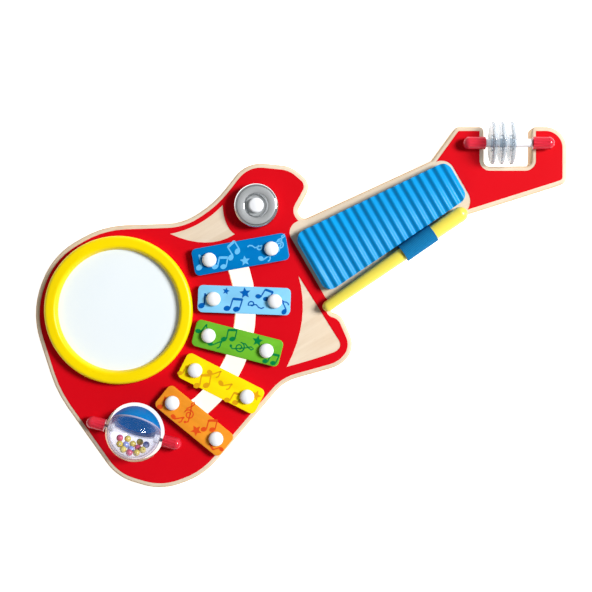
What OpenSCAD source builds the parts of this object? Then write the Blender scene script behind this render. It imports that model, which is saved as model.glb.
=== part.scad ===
// Wooden toy guitar that is played in seven ways: a drum, five metal keys, a bell, a bead ball,
// three clapping rings, a ribbed scraper and a drumstick, all fixed to one flat board.
// +X runs along the neck to the headstock, +Z out of the painted face. The back lies on z = 0.

/* [Board] */
// Length of the body, from its butt to the line where the neck starts
body_l = 247; // [236:1:300]
// Width of the body across its widest place
body_w = 221; // [216:1:270]
// Length of the neck, from the body to the headstock
neck_l = 126; // [118:1:155]
// Width of the neck at the body
neck_w_body = 76; // [74:1:84]
// Width of the neck at the headstock
neck_w_head = 54; // [52:1:62]
// Thickness of the board
board_t = 18; // [18:0.5:24]
// Length of the headstock along its own edge
head_l = 98.5; // [95:0.5:120]
// Angle by which the headstock turns down from the neck
head_angle = 30; // [26:1:34]
// Radius of the rounded edge that the paint stays away from
edge_round = 2.5; // [1:0.5:3]
// Bare margin between the rounded edge and the paint
paint_margin = 1.3; // [1:0.1:4]
// Thickness of the red paint film
paint_t = 0.25; // [0.2:0.05:0.4]

/* [Drum] */
// Diameter over the hoop
hoop_d = 124; // [110:1:128]
// Width of the hoop, from its rim to the skin
hoop_w = 11.4; // [10.5:0.1:13]
// Height of the hoop above the face
hoop_h = 8; // [7:0.5:11]
// Thickness of the drum skin
skin_t = 0.8; // [0.5:0.1:1.2]
// Wall of the drum shell
shell_wall = 2.4; // [2:0.1:3]
// Number of screws that pull the hoop down
hoop_screws = 6; // [4:1:8]

/* [Keys] */
// Length of the first key
key_l_first = 80; // [74:0.5:84]
// Length of the last key
key_l_last = 69.6; // [66:0.5:74]
// Width of each key
key_w = 22.8; // [18:0.2:24]
// Thickness of each key
key_t = 3; // [2:0.1:4]
// Corner radius of each key
key_corner = 4.2; // [2:0.2:6]
// Distance between the two pins of the first key
pin_span_first = 52.6; // [50:0.2:54]
// Distance between the two pins of the last key
pin_span_last = 47.2; // [45:0.2:49]
// Distance from the centre of the drum to the middle key
key_r = 103.4; // [100:0.2:108]
// How much further out each step away from the middle key sits
key_bow = 2.2; // [2:0.1:2.6]
// Diameter of the pin's round head
pin_head_d = 12; // [10:0.2:14]
// Height of the pin's round head
pin_head_h = 4.2; // [3:0.2:5]
// Diameter of the pin's shank
pin_d = 5; // [4:0.2:5.6]
// How far a key can rise before it meets the heads of its pins
key_float = 0.8; // [0.4:0.1:1.2]
// Thickness of the felt rings under a key
felt_t = 3; // [2.5:0.1:4]
// Diameter of the felt rings
felt_d = 10.6; // [9:0.2:11.6]
// Width of the sound slot under the keys
slot_w = 17.6; // [10:0.2:19]

/* [Bell] */
// Diameter of the gong
gong_d = 37; // [34:0.5:40]
// Height of the gong
gong_h = 9.5; // [8:0.5:12]
// Sheet thickness of the gong
gong_t = 0.9; // [0.7:0.1:1.2]
// Diameter of the sunk middle of the gong
gong_dish_d = 19; // [18:0.5:22]
// Depth of the sunk middle
gong_dish_h = 3; // [2:0.2:3.4]
// Gap between the gong's rim and the face
gong_gap = 1.6; // [1.2:0.1:3]
// Diameter of the white cap on the post
bell_cap_d = 12.4; // [11:0.2:14]

/* [Bead ball] */
// Diameter of the ball
ball_d = 45; // [44:0.5:46]
// Wall of the ball
ball_wall = 1.8; // [1.6:0.1:2.2]
// Gap around the ball in the hole that it turns in
ball_gap = 2.5; // [2:0.1:3.5]
// Height of both axles above the face
axle_h = 5.5; // [5.4:0.1:6.5]
// Distance from the middle of the ball to the plate that divides it
seam_offset = 6.5; // [5:0.5:8]
// Diameter of a bead
bead_d = 5.8; // [5:0.1:6]
// Diameter of the steel axle pins
axle_pin_d = 3; // [2.5:0.1:3.4]
// Visible length of a ball peg
ball_peg_l = 16; // [14:0.5:18]

/* [Clapper] */
// Width of the notch in the headstock
notch_w = 39.8; // [36:0.2:42]
// Diameter of the clapping rings
ring_d = 36; // [33:0.5:36.4]
// Thickness of a ring at its rim
ring_t = 3; // [2.4:0.2:3.4]
// Diameter of the rod that the rings slide on
rod_d = 7; // [6:0.1:7.2]
// Diameter of the red pegs
peg_d = 10.7; // [10:0.1:10.8]
// Visible length of a rod peg
rod_peg_l = 18.5; // [17:0.5:20]

/* [Scraper] */
// Length of the ribbed plate
scraper_l = 142; // [136:1:150]
// Width of the plate at the body
scraper_w_body = 56.2; // [50:0.2:58]
// Width of the plate at the headstock
scraper_w_head = 35.3; // [32:0.1:37]
// Corner radius of the plate
scraper_corner = 8.4; // [6:0.2:10]
// Height of the plate up to the top of its ribs
scraper_h = 9; // [8:0.2:12]
// Depth of the grooves between the ribs
rib_depth = 1.8; // [1:0.1:2.2]
// Number of ribs
rib_count = 19; // [14:1:24]
// Wall of the plate
scraper_wall = 2.4; // [2:0.1:3]

/* [Drumstick] */
// Length of the drumstick
stick_l = 145; // [120:1:150]
// Diameter of its thin end
stick_d_thin = 9; // [8:0.1:10]
// Diameter of its thick end
stick_d_thick = 12.8; // [11:0.1:13]
// Width of the elastic loop
loop_w = 30.5; // [20:0.5:34]
// Thickness of the elastic
loop_t = 1.2; // [0.8:0.1:1.4]

/* [Hidden] */
$fn = 96;

// Fits, all per side
press_gap = 0.05;
run_gap = 0.08;
key_gap = 0.5;
ring_gap = 0.35;
shell_gap = 0.2;
face_gap = 0.3;
end_gap = 1;
cut = 1;

// Heights
paint_z = board_t + paint_t;
ball_lift = 1;
axle_z = max(board_t + axle_h, ball_d / 2 + ball_lift);
axle_rise = axle_z - board_t;

// The outline's corners are drawn for a body of this length and width
shape_l = 247;
shape_w = 221;
kx = body_l / shape_l;
ky = body_w / shape_w;
function on_body(x, y) = [x * kx, y * ky];

// Places on the body, from the middle of the neck's start
neck_y = -7 * ky;
drum_c = on_body(-166, 42.5);
ball_c = on_body(-206, -53);
bell_c = on_body(-22.5, 60.3);
ball_axle_angle = -44.5;
seam_tilt = 61;

// Arcs of an outline turn this far between two of its points
arc_step = 6;

// A corner is [x, y, radius]; the next functions find its two tangent points and its arc
function unit(v) = v / norm(v);
function flat(c) = [c.x, c.y];
function to_prev(c, i) = unit(flat(c[(i + len(c) - 1) % len(c)]) - flat(c[i]));
function to_next(c, i) = unit(flat(c[(i + 1) % len(c)]) - flat(c[i]));
function half_angle(c, i) = acos(max(-1, min(1, to_prev(c, i) * to_next(c, i)))) / 2;
function inward(c, i) = unit(to_prev(c, i) + to_next(c, i));
function turn(c, i) = sign(cross(-to_prev(c, i), to_next(c, i)));
function arc_centre(c, i) = flat(c[i]) + inward(c, i) * c[i][2] / sin(half_angle(c, i));
function arc_start(c, i) = flat(c[i]) + to_prev(c, i) * c[i][2] / tan(half_angle(c, i));
function heading(v) = atan2(v.y, v.x);
function corner_arc(c, i) =
    let (
        m = arc_centre(c, i),
        from = heading(arc_start(c, i) - m),
        sweep = turn(c, i) * (180 - 2 * half_angle(c, i)),
        n = max(1, ceil(abs(sweep) / arc_step))
    )
    [for (k = [0 : n]) m + c[i][2] * [cos(from + sweep * k / n), sin(from + sweep * k / n)]];
function rounded(c) = [for (i = [0 : len(c) - 1]) each corner_arc(c, i)];

// The same corners moved in by a margin, anticlockwise outlines only
function inset(c, m) = [
    for (i = [0 : len(c) - 1])
        let (p = flat(c[i]) + turn(c, i) * inward(c, i) * m / sin(half_angle(c, i)))
        [p.x, p.y, max(0.2, c[i][2] - turn(c, i) * m)]
];

// A curved side from a to b, pulled towards p
function bow(a, p, b, n = 8) =
    [for (k = [0 : n - 1]) let (t = k / n) (1 - t) * (1 - t) * a + 2 * t * (1 - t) * p + t * t * b];

// Headstock frame: x along its edge, y across it
head_at = [neck_l, neck_y];
function head_pt(x, y) =
    head_at + [x * cos(head_angle) + y * sin(head_angle), y * cos(head_angle) - x * sin(head_angle)];
function head_corner(x, y, r) = let (p = head_pt(x, y)) [p.x, p.y, r];
function body_corner(x, y, r) = let (p = on_body(x, y)) [p.x, p.y, r * min(kx, ky)];
head_top = 51;
rod_y = 36.4;
ring_room = 0.8;
notch_shift = 0.5;
notch_x = (head_l - notch_w) / 2 - notch_shift;
notch_floor = rod_y - ring_d / 2 - ring_room;

// Corners of the whole board, anticlockwise from the pocket behind the upper horn
outline = [
    [5 * kx, neck_y + neck_w_body / 2, 5],
    body_corner(5, 40.2, 6),
    body_corner(27, 53.6, 10.5),
    body_corner(19.5, 75, 26),
    body_corner(-11, 97, 27),
    body_corner(-52, 80.5, 85),
    body_corner(-83, 79, 48),
    body_corner(-143, 111, 77),
    body_corner(-192, 110.5, 63),
    body_corner(-231.5, 79, 71),
    body_corner(-246.5, 9, 105),
    body_corner(-238.5, -78, 43),
    body_corner(-211, -107, 49),
    body_corner(-174, -113.5, 62),
    body_corner(-76, -79, 35),
    body_corner(-29, -91, 26),
    body_corner(-10, -85, 18),
    body_corner(-6.5, -54.5, 13),
    [-16 * kx, neck_y - neck_w_body / 2, 3],
    [neck_l, neck_y - neck_w_head / 2, 2],
    head_corner(head_l, 3.5, 7),
    head_corner(head_l, head_top, 18),
    head_corner(notch_x + notch_w, head_top, 4),
    head_corner(notch_x + notch_w, notch_floor, 5),
    head_corner(notch_x, notch_floor, 5),
    head_corner(notch_x, head_top, 4),
    head_corner(5.5, head_top, 5),
    [neck_l - 2, neck_y + neck_w_head / 2, 3]
];
outline_points = rounded(outline);

// The origin is under the middle of the board's box
xs = [for (p = outline_points) p.x];
ys = [for (p = outline_points) p.y];
centre = [(min(xs) + max(xs)) / 2, (min(ys) + max(ys)) / 2];
module seat() {
    translate([-centre.x, -centre.y, 0])
        children();
}

// Scraper, lying on the bare neck
scraper_x = -8;
scraper_y = neck_y + 2.4;
scraper_corners = [
    [scraper_x + scraper_l, scraper_y + scraper_w_head / 2, scraper_corner],
    [scraper_x, scraper_y + scraper_w_body / 2, scraper_corner],
    [scraper_x, scraper_y - scraper_w_body / 2, scraper_corner],
    [scraper_x + scraper_l, scraper_y - scraper_w_head / 2, scraper_corner]
];
scraper_bare_gap = 2.8;
bare_rise = 3;
bare_corners = [
    [scraper_x + scraper_l + scraper_bare_gap, scraper_y + scraper_w_head / 2 + scraper_bare_gap, 11],
    [scraper_x - scraper_bare_gap, neck_y + neck_w_body / 2 + edge_round, 10],
    [scraper_x - scraper_bare_gap, neck_y - neck_w_body / 2, 10],
    [scraper_x + scraper_l + scraper_bare_gap, neck_y - neck_w_head / 2 + bare_rise, 13]
];
boss_d = 8;
scraper_screw_in = 13;
scraper_screw_at = [
    for (sx = [0, 1], sy = [-1, 1])
        let (
            x = scraper_x + (sx == 0 ? scraper_screw_in : scraper_l - scraper_screw_in),
            w = sx == 0 ? scraper_w_body : scraper_w_head
        )
        [x, scraper_y + sy * (w / 2 - scraper_screw_in)]
];

// Wood screws
screw_d = 3.4;
screw_head_d = 7;
screw_head_h = 2.4;
screw_room = 0.15;
screw_sink = 0.6;
bite = 5;
screw_end_gap = 0.5;

// Drum: the shell hangs in the board's hole by a flange, and the hoop clamps the skin on it
hoop_r = hoop_d / 2;
skin_open_r = hoop_r - hoop_w;
shell_out = 4;
shell_r = skin_open_r + shell_out;
shell_bottom = 1;
flange_w = 3.2;
flange_r = shell_r + flange_w;
flange_h = 2;
flange_z = paint_z + flange_h;
skin_z = flange_z + skin_t;
hoop_screw_out = 0.4;
hoop_screw_r = (flange_r + hoop_r) / 2 + hoop_screw_out;
hoop_screw_d = 2.4;

// Keys
key_count = 5;
middle_key = 3;
first_key_azimuth = -5.5;
key_azimuth_step = -20;
middle_key_tilt = -44.5;
key_tilt_step = -12.4;
key_colors = ["#0a74c4", "#8fcbf0", "#5aae2c", "#ffdf1a", "#ee9c28"];
function key_share(i) = (i - 1) / (key_count - 1);
function key_length(i) = key_l_first + (key_l_last - key_l_first) * key_share(i);
function pin_span(i) = pin_span_first + (pin_span_last - pin_span_first) * key_share(i);
function key_azimuth(i) = first_key_azimuth + key_azimuth_step * (i - 1);
function key_radius(i) = key_r + key_bow * pow(i - middle_key, 2);
function key_tilt(i) = middle_key_tilt + key_tilt_step * (i - middle_key);
function key_centre(i) = drum_c + key_radius(i) * [cos(key_azimuth(i)), sin(key_azimuth(i))];
key_z = paint_z + felt_t;
pin_head_z = key_z + key_t + key_float;
pin_depth = 12;
slot_out = 2.6;
slot_r = key_r + slot_out;
slot_end_in = 1;
slot_from = key_azimuth(1) - slot_end_in;
slot_to = key_azimuth(key_count) + slot_end_in;

// Bell
gong_z = paint_z + gong_gap;
bell_shank_d = 6;
bell_foot_d = 11;
dish_z = gong_z + gong_h - gong_dish_h;
bell_cap_h = 4.4;
bell_cap_wall = 1.2;
bell_washer_t = 0.8;
bell_washer_d = 10;
bell_head_r = 3;
bell_head_h = 2;
bell_head_side = 1.6;
bell_head_edge = 0.4;
cap_room = 0.4;
gong_bend = 3;

// Bead ball and its pegs
ball_r = ball_d / 2;
ball_hole_d = ball_d + 2 * ball_gap;
cavity_r = ball_r - ball_wall;
divider_t = 1.6;
pin_boss_d = 7;
pin_in_ball = 5;
pin_boss_sink = 0.6;
peg_bore_l = 10;
boss_floor = 1;
pin_tip_gap = 0.2;
axle_pin_from = ball_r - pin_in_ball + boss_floor + pin_tip_gap;
axle_pin_to = ball_hole_d / 2 + peg_bore_l - end_gap;
peg_roof = 1;
peg_screw_gap = 0.4;
peg_collar = 1;
peg_foot_w = 6;
peg_flutes = 5;
flute_r = 0.7;
flute_out = 0.385;
flute_spread = 60;

// Clapper rod
rod_in_peg = 10;
journal_d = 5;
shoulder_gap = 0.4;
notch_mid = notch_x + notch_w / 2;
ring_places = [-13.8, -6.1, 2];
ring_hub_d = 13;
ring_hub_t = 3.6;

// Drumstick and its elastic loop
stick_angle = 4.75;
stick_start = [-17.2, neck_y - 35.6];
loop_from = 81;
stick_lift = loop_t + face_gap;
stick_z = board_t + stick_lift;
stick_cone = (stick_d_thick - stick_d_thin) / 2 / stick_l;
function stick_r_at(s) = stick_d_thin / 2 + stick_cone * s;
loop_slot_h = 2 * loop_t + face_gap;
loop_slot_room = 6;
loop_slot_l = stick_d_thick + scraper_wall + loop_slot_room;

module plate(points, z, t) {
    translate([0, 0, z])
        linear_extrude(t)
            polygon(points);
}

module ring(outer_d, inner_d, z, t) {
    translate([0, 0, z])
        difference() {
            cylinder(d = outer_d, h = t);
            translate([0, 0, -cut])
                cylinder(d = inner_d, h = t + 2 * cut);
        }
}

// Countersunk wood screw that points up, its head at the origin, with a cross for the driver
module wood_screw(l, d = screw_d) {
    cross_l = 4;
    cross_w = 0.9;
    cross_h = 1.4;
    difference() {
        rotate_extrude()
            polygon([
                [0, 0],
                [screw_head_d / 2, 0],
                [d / 2, screw_head_h],
                [d / 2, l - d / 2],
                [0, l]
            ]);
        for (a = [0, 90])
            rotate([0, 0, a])
                translate([-cross_l / 2, -cross_w / 2, -cut])
                    cube([cross_l, cross_w, cross_h + cut]);
    }
}

// The room that such a screw takes in the board
module screw_hole(d = screw_d) {
    translate([0, 0, -cut])
        cylinder(r = d / 2 + screw_room, h = board_t + 2 * cut);
    translate([0, 0, -cut])
        cylinder(r = screw_head_d / 2 + screw_room, h = screw_sink + cut);
    translate([0, 0, screw_sink])
        cylinder(r1 = screw_head_d / 2 + screw_room, r2 = d / 2 + screw_room, h = screw_head_h);
}

module at_hoop_screws() {
    translate([drum_c.x, drum_c.y, 0])
        for (k = [0 : hoop_screws - 1])
            rotate([0, 0, 360 * (k + 0.5) / hoop_screws])
                translate([hoop_screw_r, 0, 0])
                    children();
}

module at_pins(i) {
    translate([key_centre(i).x, key_centre(i).y, 0])
        rotate([0, 0, key_tilt(i)])
            for (side = [-1, 1])
                translate([side * pin_span(i) / 2, 0, 0])
                    children();
}

module at_scraper_screws() {
    for (p = scraper_screw_at)
        translate([p.x, p.y, 0])
            children();
}

// x runs along the ball's axle, the origin is the middle of the ball
module on_ball_axle() {
    translate([ball_c.x, ball_c.y, axle_z])
        rotate([0, 0, ball_axle_angle])
            children();
}

// x runs along the rod, the origin is over the middle of the notch
module on_rod() {
    translate([head_pt(notch_mid, rod_y).x, head_pt(notch_mid, rod_y).y, axle_z])
        rotate([0, 0, -head_angle])
            children();
}

// x runs along the lowest line of the drumstick, the origin is at its thin end
module on_stick() {
    translate([stick_start.x, stick_start.y, stick_z])
        rotate([0, 0, stick_angle])
            children();
}

function ball_peg_x(side) = side * (ball_hole_d / 2 + ball_peg_l / 2);
function rod_peg_x(side) = side * (notch_w / 2 + rod_peg_l / 2);

module slot_shape() {
    n = ceil(abs(slot_to - slot_from) / arc_step);
    function slot_point(r, k) =
        let (a = slot_from + (slot_to - slot_from) * k / n)
        drum_c + r * [cos(a), sin(a)];
    polygon(concat(
        [for (k = [0 : n]) slot_point(slot_r + slot_w / 2, k)],
        [for (k = [n : -1 : 0]) slot_point(slot_r - slot_w / 2, k)]
    ));
}

peg_screw_at = [
    for (side = [-1, 1])
        ball_c + ball_peg_x(side) * [cos(ball_axle_angle), sin(ball_axle_angle)],
    for (side = [-1, 1])
        head_pt(notch_mid + rod_peg_x(side), rod_y)
];
module peg_screw_places() {
    for (p = peg_screw_at)
        translate([p.x, p.y, 0])
            children();
}

module board() {
    color("#ecd8b4")
        seat()
            difference() {
                plate(outline_points, 0, board_t);
                translate([drum_c.x, drum_c.y, -cut])
                    cylinder(r = shell_r + shell_gap, h = board_t + 2 * cut);
                translate([ball_c.x, ball_c.y, -cut])
                    cylinder(d = ball_hole_d, h = board_t + 2 * cut);
                translate([0, 0, -cut])
                    linear_extrude(board_t + 2 * cut)
                        slot_shape();
                at_hoop_screws()
                    screw_hole(hoop_screw_d);
                for (i = [1 : key_count])
                    at_pins(i)
                        translate([0, 0, board_t - pin_depth])
                            cylinder(r = pin_d / 2 + press_gap, h = pin_depth + cut);
                translate([bell_c.x, bell_c.y, board_t - pin_depth])
                    cylinder(r = screw_d / 2 + press_gap, h = pin_depth + cut);
                peg_screw_places()
                    screw_hole();
                at_scraper_screws()
                    screw_hole();
            }
}

// Bare wood shows in these two places on the horns
function horn_patch_upper() = let (
        a = on_body(-97, 76.4), b = on_body(-46.6, 75.4), c = on_body(-50, 49)
    )
    concat(
        bow(a, on_body(-76.8, 48.1), c),
        bow(c, on_body(-55, 58.8), b),
        bow(b, on_body(-71.8, 67.8), a)
    );
function horn_patch_lower() = let (
        a = on_body(-21.2, -7.5), b = on_body(-67.9, -69.2), c = on_body(-27, -78.5), d = on_body(-19, -70)
    )
    concat(
        bow(a, on_body(-30.2, -45.1), b),
        bow(b, on_body(-45, -75.5), c),
        bow(c, on_body(-18, -79), d),
        [d]
    );

module face_paint() {
    color("#d6101c")
        seat()
            translate([0, 0, board_t])
                linear_extrude(paint_t)
                    difference() {
                        polygon(rounded(inset(outline, edge_round + paint_margin)));
                        polygon(rounded(bare_corners));
                        polygon(horn_patch_upper());
                        polygon(horn_patch_lower());
                        slot_shape();
                        translate(drum_c)
                            circle(r = flange_r + press_gap);
                        at_hoop_screws()
                            circle(r = hoop_screw_d / 2 + screw_room);
                        peg_screw_places()
                            circle(r = screw_d / 2 + screw_room);
                        translate(ball_c)
                            circle(d = ball_hole_d);
                        for (i = [1 : key_count])
                            translate(key_centre(i))
                                rotate(key_tilt(i))
                                    for (side = [-1, 1])
                                        translate([side * pin_span(i) / 2, 0])
                                            circle(r = pin_d / 2 + press_gap);
                        translate(bell_c)
                            circle(r = bell_foot_d / 2 + press_gap);
                    }
}

module drum_shell() {
    color("#f4f4f0")
        seat()
            translate([drum_c.x, drum_c.y, 0])
                rotate_extrude()
                    polygon([
                        [shell_r - shell_wall, shell_bottom],
                        [shell_r, shell_bottom],
                        [shell_r, board_t],
                        [flange_r, board_t],
                        [flange_r, flange_z],
                        [shell_r - shell_wall, flange_z]
                    ]);
}

module drum_skin() {
    color("#eef6fb")
        seat()
            translate([drum_c.x, drum_c.y, flange_z])
                cylinder(r = flange_r, h = skin_t);
}

module drum_hoop() {
    crown = 3;
    lip_w = 3.52;
    lip_h = 2.6;
    hoop_top = paint_z + hoop_h;
    color("#f7d80c")
        seat()
            difference() {
                translate([drum_c.x, drum_c.y, 0])
                    rotate_extrude()
                        polygon(concat(
                            [
                                [flange_r + press_gap, paint_z],
                                [hoop_r, paint_z]
                            ],
                            [for (a = [0 : 15 : 90])
                                [hoop_r - crown + crown * cos(a), hoop_top - crown + crown * sin(a)]],
                            [for (a = [0 : 15 : 90])
                                [skin_open_r + lip_w * (1 - sin(a)), hoop_top - lip_h * (1 - cos(a))]],
                            [
                                [skin_open_r, skin_z],
                                [flange_r + press_gap, skin_z]
                            ]
                        ));
                at_hoop_screws()
                    translate([0, 0, board_t])
                        cylinder(r = hoop_screw_d / 2 + press_gap, h = paint_t + bite + screw_end_gap);
            }
}

module drum_screws() {
    color("#b8bcc0")
        seat()
            at_hoop_screws()
                translate([0, 0, screw_sink])
                    wood_screw(paint_z + bite - screw_sink, hoop_screw_d);
}

module key_bar(i) {
    l = key_length(i);
    corners = [
        [l / 2, key_w / 2, key_corner],
        [-l / 2, key_w / 2, key_corner],
        [-l / 2, -key_w / 2, key_corner],
        [l / 2, -key_w / 2, key_corner]
    ];
    color(key_colors[i - 1])
        seat()
            difference() {
                translate([key_centre(i).x, key_centre(i).y, 0])
                    rotate([0, 0, key_tilt(i)])
                        plate(rounded(corners), key_z, key_t);
                at_pins(i)
                    translate([0, 0, key_z - cut])
                        cylinder(r = pin_d / 2 + key_gap, h = key_t + 2 * cut);
            }
}

// White pin with a round head, pressed into the board
module key_pin_pair(i) {
    head_r = pin_head_d / 2;
    flat_h = 1;
    dome_h = pin_head_h - flat_h;
    color("#f6f8fb")
        seat()
            at_pins(i)
                rotate_extrude()
                    polygon(concat(
                        [
                            [0, board_t - pin_depth + end_gap],
                            [pin_d / 2, board_t - pin_depth + end_gap],
                            [pin_d / 2, pin_head_z],
                            [head_r, pin_head_z]
                        ],
                        [for (a = [0 : 10 : 90])
                            [head_r * cos(a), pin_head_z + flat_h + dome_h * sin(a)]]
                    ));
}

module key_felt_pair(i) {
    color("#8a8378")
        seat()
            at_pins(i)
                ring(felt_d, pin_d + 2 * press_gap, paint_z, felt_t);
}

module key_1() { key_bar(1); }
module key_2() { key_bar(2); }
module key_3() { key_bar(3); }
module key_4() { key_bar(4); }
module key_5() { key_bar(5); }
module key_1_pins() { key_pin_pair(1); }
module key_2_pins() { key_pin_pair(2); }
module key_3_pins() { key_pin_pair(3); }
module key_4_pins() { key_pin_pair(4); }
module key_5_pins() { key_pin_pair(5); }
module key_1_felts() { key_felt_pair(1); }
module key_2_felts() { key_felt_pair(2); }
module key_3_felts() { key_felt_pair(3); }
module key_4_felts() { key_felt_pair(4); }
module key_5_felts() { key_felt_pair(5); }

// Pressed steel cup, open towards the board, with a sunk middle
module bell_gong() {
    r = gong_d / 2;
    bend = gong_bend;
    dish_r = gong_dish_d / 2;
    top = gong_z + gong_h;
    t = gong_t;
    dish_bend = 0.2;
    bore_r = bell_shank_d / 2 + run_gap;
    color("#c9ccd0")
        seat()
            translate([bell_c.x, bell_c.y, 0])
                rotate_extrude()
                    polygon(concat(
                        [[r - t, gong_z], [r, gong_z]],
                        [for (a = [0 : 15 : 90]) [r - bend + bend * cos(a), top - bend + bend * sin(a)]],
                        [
                            [dish_r + t, top],
                            [dish_r, top - t],
                            [dish_r, dish_z],
                            [bore_r, dish_z],
                            [bore_r, dish_z - t],
                            [dish_r + t, dish_z - t],
                            [dish_r + t, top - t - dish_bend]
                        ],
                        [for (a = [90 : -15 : 0])
                            [r - bend + (bend - t) * cos(a), top - bend + (bend - t) * sin(a)]]
                    ));
}

// Plastic post that the gong turns on
module bell_post() {
    shoulder_z = dish_z - gong_t - face_gap;
    color("#f6f8fb")
        seat()
            translate([bell_c.x, bell_c.y, 0])
                difference() {
                    union() {
                        translate([0, 0, board_t])
                            cylinder(d = bell_foot_d, h = shoulder_z - board_t);
                        translate([0, 0, board_t])
                            cylinder(d = bell_shank_d, h = dish_z + face_gap - board_t);
                    }
                    translate([0, 0, board_t - cut])
                        cylinder(r = screw_d / 2 + press_gap, h = gong_h + gong_gap + 2 * cut);
                }
}

module bell_washer() {
    color("#c9ccd0")
        seat()
            translate([bell_c.x, bell_c.y, 0])
                ring(bell_washer_d, screw_d + 2 * press_gap, dish_z + face_gap, bell_washer_t);
}

module bell_screw() {
    head_z = dish_z + face_gap + bell_washer_t;
    color("#b8bcc0")
        seat()
            translate([bell_c.x, bell_c.y, 0])
                rotate_extrude()
                    polygon([
                        [0, board_t - pin_depth + end_gap],
                        [screw_d / 2, board_t - pin_depth + end_gap + screw_d / 2],
                        [screw_d / 2, head_z],
                        [bell_head_r, head_z],
                        [bell_head_r - bell_head_edge, head_z + bell_head_side],
                        [0, head_z + bell_head_h]
                    ]);
}

// White cap snapped over the screw head
module bell_cap() {
    z0 = dish_z + face_gap + bell_washer_t;
    r = bell_cap_d / 2;
    inner_r = bell_head_r + cap_room;
    bend = 1.6;
    color("#f6f8fb")
        seat()
            translate([bell_c.x, bell_c.y, 0])
                rotate_extrude()
                    polygon(concat(
                        [[inner_r, z0], [r, z0]],
                        [for (a = [0 : 15 : 90])
                            [r - bend + bend * cos(a), z0 + bell_cap_h - bend + bend * sin(a)]],
                        [
                            [0, z0 + bell_cap_h],
                            [0, z0 + bell_cap_h - bell_cap_wall],
                            [inner_r, z0 + bell_cap_h - bell_cap_wall]
                        ]
                    ));
}

// The ball's own frame: z is square to the dividing plate and points into the clear part
module in_ball() {
    on_ball_axle()
        rotate([seam_tilt, 0, 0])
            children();
}

module ball_shell_solid() {
    difference() {
        sphere(r = ball_r);
        sphere(r = cavity_r);
    }
}

module ball_clear_shell() {
    color([0.86, 0.9, 0.97, 0.35])
        seat()
            difference() {
                union() {
                    in_ball()
                        intersection() {
                            ball_shell_solid();
                            translate([-ball_r, -ball_r, -seam_offset])
                                cube([ball_d, ball_d, ball_d]);
                        }
                    on_ball_axle()
                        for (side = [-1, 1])
                            translate([side * (ball_r - pin_in_ball), 0, 0])
                                rotate([0, side * 90, 0])
                                    cylinder(d = pin_boss_d, h = pin_in_ball - pin_boss_sink);
                }
                on_ball_axle()
                    for (side = [-1, 1])
                        translate([side * (ball_r - pin_in_ball + boss_floor), 0, 0])
                            rotate([0, side * 90, 0])
                                cylinder(r = axle_pin_d / 2 + press_gap, h = pin_in_ball + cut);
            }
}

module ball_blue_shell() {
    color("#0a67b0")
        seat()
            in_ball()
                intersection() {
                    ball_shell_solid();
                    translate([-ball_r, -ball_r, -seam_offset - ball_d - press_gap])
                        cube([ball_d, ball_d, ball_d]);
                }
}

module ball_divider() {
    r = sqrt(pow(cavity_r, 2) - pow(seam_offset, 2)) - face_gap;
    rim_w = 2.4;
    rim_h = 1.6;
    color([0.86, 0.9, 0.97, 0.35])
        seat()
            in_ball()
                translate([0, 0, -seam_offset - divider_t / 2])
                    rotate_extrude()
                        polygon([
                            [0, 0],
                            [r - rim_w, 0],
                            [r - rim_w, -rim_h / 2],
                            [r - rim_h, -rim_h / 2],
                            [r, divider_t / 2],
                            [r, divider_t],
                            [0, divider_t]
                        ]);
}

// Beads lie in rings around the lowest place that the plate leaves them
bead_axis_tilt = 50;
bead_rings = 3;
bead_room = 0.23;
bead_side_gap = 0.05;
bead_track = cavity_r - bead_d / 2 - face_gap;
bead_pitch = 2 * asin((bead_d / 2 + bead_room) / bead_track);
function beads_round(polar) =
    polar == 0 ? 1 : floor(180 / asin((bead_d / 2 + bead_side_gap) / (bead_track * sin(polar))));
bead_floor = -seam_offset + divider_t / 2 + bead_d / 2 + face_gap;
function bead_dir(polar, around) = [sin(polar) * sin(around), -cos(polar), sin(polar) * cos(around)];
function tip_back(v, a) = [v.x, v.y * cos(a) - v.z * sin(a), v.z * cos(a) + v.y * sin(a)];
function above_seam(v) = v.z * cos(seam_tilt) - v.y * sin(seam_tilt);
bead_spots = [
    for (ring_no = [0 : bead_rings - 1])
        let (polar = bead_pitch * ring_no, n = beads_round(polar))
        for (k = [0 : n - 1])
            let (v = bead_track * tip_back(bead_dir(polar, 360 * k / n), bead_axis_tilt))
            if (above_seam(v) > bead_floor) v
];

module ball_beads() {
    color("#e8c832")
        seat()
            on_ball_axle()
                for (v = bead_spots)
                    translate(v)
                        sphere(d = bead_d, $fn = 24);
}

module ball_axle_pins() {
    color("#b8bcc0")
        seat()
            on_ball_axle()
                for (side = [-1, 1])
                    translate([side * axle_pin_from, 0, 0])
                        rotate([0, side * 90, 0])
                            cylinder(d = axle_pin_d, h = axle_pin_to - axle_pin_from);
}

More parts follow.
